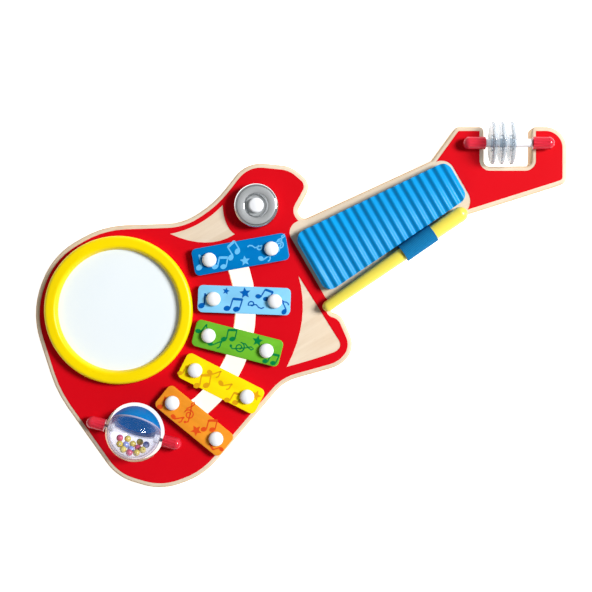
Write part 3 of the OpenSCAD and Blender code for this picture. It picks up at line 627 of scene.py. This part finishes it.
def plated_steel(start):
    at = start.node("TexCoord", out="Object")
    at = start.node("Mapping", {}, {"Vector": at, "Location": (-bell.x, -bell.y, 0)})
    at = start.node("VectorMath", {"operation": "MULTIPLY"}, {0: at, 1: (1, 1, 0)})
    out = start.node("VectorMath", {"operation": "LENGTH"}, {0: at}, out="Value")
    rings = start.node(
        "TexNoise", {"noise_dimensions": "1D"},
        {"W": out * 3400, "Detail": 3.0, "Scale": 1.0}, out="Fac",
    )
    faces_up = abs(start.node("SeparateXYZ", {}, {0: start.node("TexCoord", out="Normal")}, out=2))
    brushed = span(faces_up, 0.95, 0.999)
    tone = between(span(rings, 0.35, 0.7) * brushed, rgb(222, 225, 226), rgb(204, 208, 210))
    return {
        "Base Color": tone,
        "Roughness": 0.07 + brushed * span(rings, 0.3, 0.7, 0.4, 0.5),
        "Normal": bump(rings * brushed, 0.000012),
    }


chrome = material("chrome", plated_steel, Metallic=1.0)
gong = turned("bell_gong_plated", (
    [(gong_r - gong_sheet, gong_low_z), (gong_r - gong_hem[0], gong_low_z),
     (gong_r, gong_low_z + gong_hem[1])]
    + arc((gong_r - gong_bend, gong_top_z - gong_bend), gong_bend, 0, 90, 8)
    + arc((dish_r + gong_sheet, gong_top_z - gong_sheet), gong_sheet, 90, 180, 4)
    + arc((dish_r - dish_bend, dish_z + dish_bend), dish_bend, 0, -90, 4)
    + [(gong_bore_r, dish_z), (gong_bore_r, dish_z - gong_sheet),
       (dish_r + gong_sheet, dish_z - gong_sheet),
       (dish_r + gong_sheet, gong_top_z - gong_sheet - gong_hem[1])]
    + arc((gong_r - gong_bend, gong_top_z - gong_bend), gong_bend - gong_sheet, 90, 0, 8)
    + [(gong_r - gong_sheet, gong_low_z)]
), steps=128)
done(placed(gong, bell), "bell", chrome, "chrome", "bell_gong", smooth=45)
cap_low_z = dish_z + 0.0011
cap_r = 0.0062
cap_top_z = cap_low_z + 0.0044
cap_wall = 0.0012
cap_bore_r = 0.0034
cap_round = 0.0018
cap_edge = 0.0002
cap = turned("bell_cap_white", (
    [(cap_bore_r, cap_low_z), (cap_r - cap_edge, cap_low_z), (cap_r, cap_low_z + cap_edge)]
    + arc((cap_r - cap_round, cap_top_z - cap_round), cap_round, 0, 70, 7)
    + [(0, cap_top_z), (0, cap_top_z - cap_wall), (cap_bore_r, cap_top_z - cap_wall),
       (cap_bore_r, cap_low_z)]
), steps=64)
done(placed(cap, bell), "guitar", white_plastic, "white_plastic", "bell_cap")
post = copy_of("bell_post", "bell_post_moulded")
done(post, "guitar", white_plastic, "white_plastic", "bell_post")

# ---- Bead ball ----
# Two half shells of clear and blue plastic are welded over a clear plate that keeps the
# beads in the clear part. Steel pins in the clear shell turn in two red pegs.
ball = Vector((-0.198373, -0.052602, 0.0235))
axle_turn = math.radians(-44.5)
seam_turn = math.radians(61)
ball_r = 0.0225
cavity_r = 0.0207
seam_at = -0.0065
weld = 0.00025
weld_gap = 0.00005
clear_hem = 0.7
blue_hem = 0.9
clear_rim_w = 0.0009
boss_r = 0.0035
boss_bore_r = 0.00155
boss_in = 0.0175
boss_bore_in = 0.0185
boss_out = 0.0219
boss_edge = (0.0003, 0.0002)
plate_half_t = 0.0008
plate_lip_z = -0.0016
plate_rim_w = 0.0027
ball_pose = Matrix.Rotation(axle_turn, 4, "Z") @ Matrix.Rotation(seam_turn, 4, "X")


def clear_plastic(name, tint, rim_tint, through, shares, rise, polish=(0.04, 1.0)):
    """Thin clear plastic: light goes straight through it, and it takes its tint at the rims."""
    gloss = 0.03
    made = bpy.data.materials.new(name)
    made.use_nodes = True
    start = Mixture(made.node_tree)
    shader = made.node_tree.nodes["Principled BSDF"]
    shader.inputs["Roughness"].default_value = gloss
    shader.inputs["Specular IOR Level"].default_value = 0
    facing = start.node("LayerWeight", {}, {"Blend": 0.5}, out="Facing")
    edge = start.maths("POWER", facing, rise)
    haze = grain(start, (160, 160, 160), 2.0)
    made.node_tree.links.new(between(edge, tint, rim_tint).socket, shader.inputs["Base Color"])
    share = span(edge, 0.0, 1.0, *shares) * span(haze, 0.2, 0.8, 0.94, 1.04)
    clear = start.node("BsdfTransparent", {}, {"Color": through})
    plastic = Mixture(made.node_tree, shader.outputs[0])
    mixed = start.node("MixShader", {}, {0: share, 1: clear, 2: plastic})
    shine = start.node("BsdfGlossy", {}, {"Roughness": gloss})
    mirrored = span(start.maths("POWER", facing, 5), 0.0, 1.0, *polish)
    mixed = start.node("MixShader", {}, {0: mirrored, 1: mixed, 2: shine})
    output = made.node_tree.nodes["Material Output"]
    made.node_tree.links.new(mixed.socket, output.inputs["Surface"])
    return made


clear_shell_plastic = clear_plastic(
    "clear_plastic", rgb(196, 204, 232), rgb(170, 172, 206), (0.95, 0.96, 0.99, 1),
    (0.004, 0.8), 3.2, (0.01, 0.6),
)
clear_plate_plastic = clear_plastic(
    "clear_plate", rgb(188, 198, 236), rgb(184, 186, 220), (0.94, 0.96, 1, 1),
    (0.0, 0.08), 4, (0.002, 0.04),
)
clear_rim_plastic = clear_plastic(
    "clear_rim", rgb(206, 210, 236), rgb(176, 180, 216), (0.93, 0.95, 1, 1), (0.45, 0.85), 1,
)
# The blue plastic has a painted glow: a faint blue emission that stands in for light coming in
# through the clear shell and plate.
blue_plastic = material(
    "blue_plastic", moulded(rgb(0, 90, 148), tint=0.9), Specular_IOR_Level=0.12,
    Emission_Color=rgb(0, 104, 172), Emission_Strength=0.55,
)


def seam_angle(radius):
    """Where the seam cuts a ball of this radius, as an angle up from its middle."""
    return math.degrees(math.asin(seam_at / radius))


def seam_r(radius):
    """How wide a ball of this radius is at the seam."""
    return math.sqrt(radius ** 2 - seam_at ** 2)


clear_half = turned("ball_shell_clear", (
    arc((0, 0), ball_r, 90, seam_angle(ball_r) + clear_hem, 40)
    + [(seam_r(ball_r) - weld, seam_at), (seam_r(cavity_r), seam_at)]
    + arc((0, 0), cavity_r, seam_angle(cavity_r), 90, 40)
), steps=96)
clear_half.data.materials.append(clear_shell_plastic)
clear_half.data.materials.append(clear_rim_plastic)
for face in clear_half.data.polygons:
    face.material_index = int(face.center.z < seam_at + clear_rim_w)
placed(clear_half, ball, ball_pose.to_euler())
bosses = []
for side in (-1, 1):
    boss = turned("boss", [
        (boss_bore_r, boss_bore_in), (boss_bore_r, boss_out), (boss_r, boss_out),
        (boss_r, boss_in + boss_edge[1]), (boss_r - boss_edge[0], boss_in), (0, boss_in),
        (0, boss_bore_in), (boss_bore_r, boss_bore_in),
    ], steps=40)
    bosses.append(placed(boss, ball, (0, side * math.pi / 2, axle_turn)))
pick(clear_half)
for boss in bosses:
    boss.select_set(True)
bpy.ops.object.join()
done(clear_half, "ball", None, "clear_plastic", "ball_clear_shell")
blue_half = turned("ball_shell_blue", (
    arc((0, 0), ball_r, -90, seam_angle(ball_r) - blue_hem, 40)
    + [(seam_r(ball_r) - weld, seam_at - weld_gap), (seam_r(cavity_r), seam_at - weld_gap)]
    + arc((0, 0), cavity_r, seam_angle(cavity_r) - 0.15, -90, 40)
), steps=96)
placed(blue_half, ball, ball_pose.to_euler())
done(blue_half, "ball", blue_plastic, "blue_plastic", "ball_blue_shell")
plate_r = seam_r(cavity_r) - 0.0003
plate = turned("ball_plate_clear", [
    (0, -plate_half_t), (plate_r - 0.0026, -plate_half_t),
    (plate_r - 0.0024, plate_lip_z), (plate_r - 0.0016, plate_lip_z),
    (plate_r - 0.0002, 0), (plate_r, 0.0006), (plate_r - 0.0003, plate_half_t), (0, plate_half_t),
], steps=96)
plate.data.materials.append(clear_plate_plastic)
plate.data.materials.append(clear_rim_plastic)
for face in plate.data.polygons:
    from_middle = math.hypot(face.center.x, face.center.y)
    face.material_index = int(from_middle > plate_r - plate_rim_w)
placed(plate, ball + ball_pose @ Vector((0, 0, seam_at)), ball_pose.to_euler())
done(plate, "ball", None, "clear_plastic", "ball_divider")

# The loose beads are round, bored through, and lie in a heap at the bottom of the clear part
bead_r = 0.0029
bead_bore_r = 0.0007
bead_room = 0.0003
bead_track = cavity_r - bead_r - bead_room
bead_pitch = 2 * math.asin((bead_r + 0.00023) / bead_track)
heap_tilt = math.radians(50)
bead_colours = [rgb(250, 226, 112), rgb(170, 182, 240), rgb(240, 104, 132), rgb(238, 208, 84)]
bead_finishes = [
    material(f"bead_{k + 1}", moulded(colour, tint=0.86), Coat_Weight=0.5, Coat_Roughness=0.1)
    for k, colour in enumerate(bead_colours)
]
draw = random.Random(7)
beads = []
for ring in range(3):
    polar = bead_pitch * ring
    count = 1 if ring == 0 else math.floor(
        180 / math.degrees(math.asin((bead_r + 0.00005) / (bead_track * math.sin(polar))))
    )
    for k in range(count):
        round_by = 2 * math.pi * k / count
        x = math.sin(polar) * math.sin(round_by)
        y = -math.cos(polar)
        z = math.sin(polar) * math.cos(round_by)
        y, z = (
            y * math.cos(heap_tilt) - z * math.sin(heap_tilt),
            z * math.cos(heap_tilt) + y * math.sin(heap_tilt),
        )
        spot_at = bead_track * Vector((x, y, z))
        over_seam = spot_at.z * math.cos(seam_turn) - spot_at.y * math.sin(seam_turn)
        if over_seam <= seam_at + plate_half_t + bead_r + bead_room:
            continue
        outside = arc((0, 0), bead_r, 74, -74, 14)
        bore = [(bead_bore_r, -bead_r * 0.94), (bead_bore_r, bead_r * 0.94)]
        bead = turned("bead", outside + bore + [outside[0]], steps=20)
        lean = [draw.uniform(0, math.pi) for axis in range(3)]
        placed(bead, ball + Matrix.Rotation(axle_turn, 3, "Z") @ spot_at, lean)
        bead.data.materials.append(bead_finishes[len(beads) % len(bead_finishes)])
        beads.append(bead)
pick(beads[0])
for bead in beads:
    bead.select_set(True)
bpy.ops.object.join()
beads[0].name = "beads_loose"
done(beads[0], "beads", None, "bead_plastic", "ball_beads")

# ---- Pegs ----
# Four short pegs of clear red plastic hold the ball's pins and the ends of the rod. Each is
# fluted, has a round outer end, and is screwed to the board from the back.


def clear_red(start):
    flow = grain(start, (60, 60, 60), 2.0)
    # Painted shade: lit is the red where a peg faces the view, and the colour darkens to a deep red
    # towards the rims as they turn away.
    facing = start.node("LayerWeight", {}, {"Blend": 0.35}, out="Facing")
    lit = between(span(flow, 0.3, 0.7), rgb(222, 54, 74), rgb(212, 36, 56))
    return {
        "Base Color": between(facing * 0.6, lit, rgb(198, 10, 26)),
        "Roughness": span(flow, 0.2, 0.8, 0.1, 0.18),
    }


red_plastic = material(
    "red_plastic", clear_red, Specular_IOR_Level=0.35, Subsurface_Weight=0.2,
    Subsurface_Scale=0.004,
)
for node in ("ball_peg_left", "ball_peg_right", "rod_peg_left", "rod_peg_right"):
    peg = bevelled(copy_of(node, node + "_clear"), 0.00025, 60, 2)
    done(peg, "guitar", red_plastic, "red_plastic", node)

# ---- Clapper ----
# A white plastic rod turns in two pegs across the notch of the headstock. Three clear rings
# with thick hubs and rims slide along it and clap together.
rod_mid = Vector((0.194046, 0.000546, 0.0235))
rod_turn = math.radians(-30)
rod_dir = Vector((math.cos(rod_turn), math.sin(rod_turn), 0))
half_notch = 0.0199
rod_end = half_notch + 0.0096
rod_shoulder = half_notch - 0.0004
rod_r = 0.0035
rod_pin_r = 0.0025
rod_edge = 0.0003
rod_half = [
    (0, rod_end), (rod_pin_r - rod_edge, rod_end), (rod_pin_r, rod_end - rod_edge),
    (rod_pin_r, rod_shoulder), (rod_r - rod_edge, rod_shoulder), (rod_r, rod_shoulder - rod_edge),
]
rod = turned(
    "clapper_rod_white", [(r, -along) for r, along in rod_half] + rod_half[::-1], steps=64
)
placed(rod, rod_mid, (0, math.pi / 2, rod_turn))
done(rod, "rod", white_plastic, "white_plastic", "clapper_rod")
ring_plastic = clear_plastic(
    "ring_plastic", rgb(178, 192, 204), rgb(84, 98, 116), (0.92, 0.95, 0.97, 1),
    (0.18, 0.95), 2.5,
)
ring_r = 0.018
ring_bore_r = 0.00385
hub_r = 0.0065
hub_half_w = 0.0018
hub_edge = 0.0002
web_from_r = 0.0075
web_half_t = 0.0007
rim_round_r = 0.0012
ring_half = [
    (ring_bore_r, hub_half_w - hub_edge), (ring_bore_r + hub_edge, hub_half_w),
    (hub_r - hub_edge, hub_half_w), (hub_r, hub_half_w - hub_edge),
    (web_from_r, web_half_t), (ring_r - 0.004, web_half_t),
    (ring_r - 0.0026, 0.00145), (ring_r - 0.0018, 0.0015),
]
ring_section = (
    [(r, -along) for r, along in ring_half]
    + arc((ring_r - rim_round_r, 0), rim_round_r, -60, 60, 8)
    + ring_half[::-1]
    + [(ring_bore_r, hub_edge - hub_half_w)]
)
ring_places = (-0.0138, -0.0061, 0.002)
for number, along in enumerate(ring_places, 1):
    ring = turned(f"clapper_ring_{number}_clear", ring_section, steps=96)
    placed(ring, rod_mid + rod_dir * along, (0, math.pi / 2, rod_turn))
    done(ring, f"ring_{number}", ring_plastic, "clear_plastic", f"clapper_ring_{number}")

# ---- Scraper ----
# A blue moulded plate, hollow underneath and screwed down from the back. The drumstick is
# rubbed along its rounded ribs.
scraper_blue = material(
    "scraper_blue", moulded(rgb(0, 148, 216), tint=0.92), Specular_IOR_Level=0.2
)
scraper = bevelled(copy_of("scraper_plate", "scraper_ribbed"), 0.0005, 62, 2)
done(scraper, "guitar", scraper_blue, "blue_plastic", "scraper_plate", smooth=40)

# ---- Drumstick ----
# A tapered plastic stick with round ends that lies on the neck beside the scraper.
stick_at = Vector((-0.009573, -0.042202, 0.0195))
stick_turn = math.radians(4.75)
stick_l = 0.145
stick_r = (0.0045, 0.0064)
stick_tilt = math.atan((stick_r[1] - stick_r[0]) / stick_l)
stick_yellow = material(
    "stick_plastic", moulded(rgb(238, 222, 84), tint=0.95), Coat_Weight=0.3, Coat_Roughness=0.15
)
stick = turned("drumstick_moulded", (
    arc((0, stick_r[0]), stick_r[0], -90, 0, 12)
    + arc((0, stick_l - stick_r[1]), stick_r[1], 0, 90, 12)
), steps=64)
stick_pose = Matrix.Rotation(stick_turn, 4, "Z") @ Matrix.Rotation(-stick_tilt, 4, "Y")
placed(
    stick, stick_at + stick_pose @ Vector((0, 0, stick_r[0])),
    (stick_pose @ Matrix.Rotation(math.pi / 2, 4, "Y")).to_euler(),
)
done(stick, "stick", stick_yellow, "stick_plastic", "drumstick")

# ---- Elastic loop ----
# A flat woven elastic goes round the stick. Both ends lie one on the other and pass through
# a slot in the scraper's wall, where the plate clamps them.
loop_w = 0.0305
loop_from = 0.081
band_t = 0.0011
band_r = 0.00686
band_mid = (0, 0.00601)
band_lean = 10
rib_pitch = 0.0011
twill_pitch = 0.0009
tail_end = 0.0178
upper_z = 0.00045
lower_z = -0.00085
lean = math.radians(band_lean)
leaves = (band_r * math.cos(lean), band_mid[1] + band_r * math.sin(lean))
lands = (leaves[0] + (leaves[1] - upper_z) * math.tan(lean), upper_z)
band_path = (
    [(tail_end, upper_z), ((tail_end + lands[0]) / 2, upper_z), (lands[0] + 0.0006, upper_z),
     (lands[0] - 0.0001, upper_z + 0.0006), ((lands[0] + leaves[0]) / 2, (upper_z + leaves[1]) / 2)]
    + arc(band_mid, band_r, band_lean, 270, 44)
    + [(0.005, lower_z), (0.011, lower_z), (tail_end, lower_z)]
)
band_run = [0.0]
for a, b in zip(band_path, band_path[1:]):
    band_run.append(band_run[-1] + math.dist(a, b))
band_l = band_run[-1]


def on_band(share):
    """The place on the band's path at this share of its length."""
    run = share * band_l
    k = max(i for i in range(len(band_run) - 1) if band_run[i] <= run + 1e-12)
    part = (run - band_run[k]) / (band_run[k + 1] - band_run[k])
    return tuple(p + (q - p) * part for p, q in zip(band_path[k], band_path[k + 1]))


def woven_elastic(start):
    at = start.node("TexCoord", out="UV")
    along = start.node("SeparateXYZ", {}, {0: at}, out=0)
    across = start.node("SeparateXYZ", {}, {0: at}, out=1)
    rib = start.maths("SINE", across * (2 * math.pi * loop_w / rib_pitch))
    slant = across * (loop_w / rib_pitch) + along * (band_l / twill_pitch)
    twill = start.maths("SINE", slant * (2 * math.pi))
    weave = span(rib * 0.5 + twill * 0.5, -0.8, 0.8)
    hem = span(abs(across - 0.5), 0.455, 0.475)
    thread = grain(start, (2600, 2600, 2600), 3.0)
    colour = between(weave, rgb(2, 84, 138), rgb(12, 130, 184))
    colour = between(hem * 0.5, colour, rgb(6, 100, 160))
    return {
        "Base Color": colour,
        "Roughness": span(thread, 0.2, 0.8, 0.72, 0.9),
        "Normal": bump(weave * 0.75 + thread * 0.25, 0.00018),
    }


elastic = material("elastic", woven_elastic, Specular_IOR_Level=0.15)
bpy.ops.object.select_all(action="DESELECT")
bpy.ops.mesh.primitive_grid_add(x_subdivisions=96, y_subdivisions=10, size=1)
band = bpy.context.object
band.name = "elastic_loop"
band.data.uv_layers[0].name = "band"
for v in band.data.vertices:
    y, z = on_band(min(1.0, max(0.0, v.co.x + 0.5)))
    v.co = (loop_from + loop_w * (v.co.y + 0.5), y, z)
placed(band, stick_at, (0, 0, stick_turn))
thick = band.modifiers.new("thickness", "SOLIDIFY")
thick.thickness = band_t
thick.offset = 0
pick(band)
bpy.ops.object.modifier_apply(modifier=thick.name)
bpy.ops.object.mode_set(mode="EDIT")
bpy.ops.mesh.select_all(action="SELECT")
bpy.ops.mesh.normals_make_consistent(inside=False)
bpy.ops.object.mode_set(mode="OBJECT")
done(band, "guitar", elastic, "elastic", "stick_loop", smooth=50)

# ---- Fasteners ----
# Zinc-plated steel: countersunk screws from the back, the bell's screw and washer, and the
# pins that the ball turns on.


def zinc_plate(start):
    cloud = grain(start, (300, 300, 300), 3.0)
    return {
        "Base Color": between(span(cloud, 0.3, 0.7), rgb(206, 208, 212), rgb(176, 179, 184)),
        "Roughness": span(cloud, 0.3, 0.7, 0.24, 0.36),
    }


steel = material("steel", zinc_plate, Metallic=1.0)
for node, body in (
    ("drum_screws", "guitar"), ("peg_screws", "guitar"), ("scraper_screws", "guitar"),
    ("bell_screw", "guitar"), ("bell_washer", "guitar"), ("ball_axle_pins", "ball"),
):
    done(copy_of(node, node + "_steel"), body, steel, "steel", node)

# ---- Floor and light ----
# A plain white table that glows evenly, a soft lamp from the upper right, and a room that is
# bright all round but dark straight overhead, so that flat faces keep their full colour.


def pale_table(start):
    cloud = grain(start, (3, 3, 3), 2.0)
    return {"Base Color": between(cloud, (0.93, 0.93, 0.93, 1), (0.95, 0.95, 0.95, 1))}


def room_light(start):
    up = start.node("SeparateXYZ", {}, {0: start.node("TexCoord", out="Generated")}, out=2)
    return start.node("ValToRGB", {"stops": [
        (0.0, (0.6, 0.6, 0.6, 1)), (1.0, (0.03, 0.03, 0.03, 1)), (0.22, (1.0, 1.0, 1.0, 1)),
        (0.72, (1.0, 1.0, 1.0, 1)), (0.84, (0.3, 0.3, 0.31, 1)), (0.93, (0.04, 0.04, 0.04, 1)),
    ]}, {"Fac": up})


bpy.ops.object.select_all(action="DESELECT")
bpy.ops.mesh.primitive_plane_add(size=8, location=(0, 0, -0.0002))
floor = bpy.context.object
floor.name = "floor"
floor.data.materials.append(material(
    "floor", pale_table, Roughness=0.9, Specular_IOR_Level=0.1,
    Emission_Color=(1, 1, 1, 1), Emission_Strength=0.85,
))


def lamp(name, at, size, power):
    bpy.ops.object.light_add(type="AREA", location=at)
    made = bpy.context.object
    made.name = name
    made.data.size = size
    made.data.energy = power
    aim = Vector((-0.02, -0.02, 0)) - Vector(at)
    made.rotation_euler = aim.to_track_quat("-Z", "Y").to_euler()


lamp("main_lamp", (1.8, -0.55, 1.75), 0.8, 92)
room = bpy.data.worlds.new("room")
bpy.context.scene.world = room
room.use_nodes = True
backdrop = room.node_tree.nodes["Background"]
backdrop.inputs["Strength"].default_value = 0.35
room.node_tree.links.new(room_light(Mixture(room.node_tree)).socket, backdrop.inputs["Color"])
bpy.context.scene.view_settings.view_transform = "Standard"
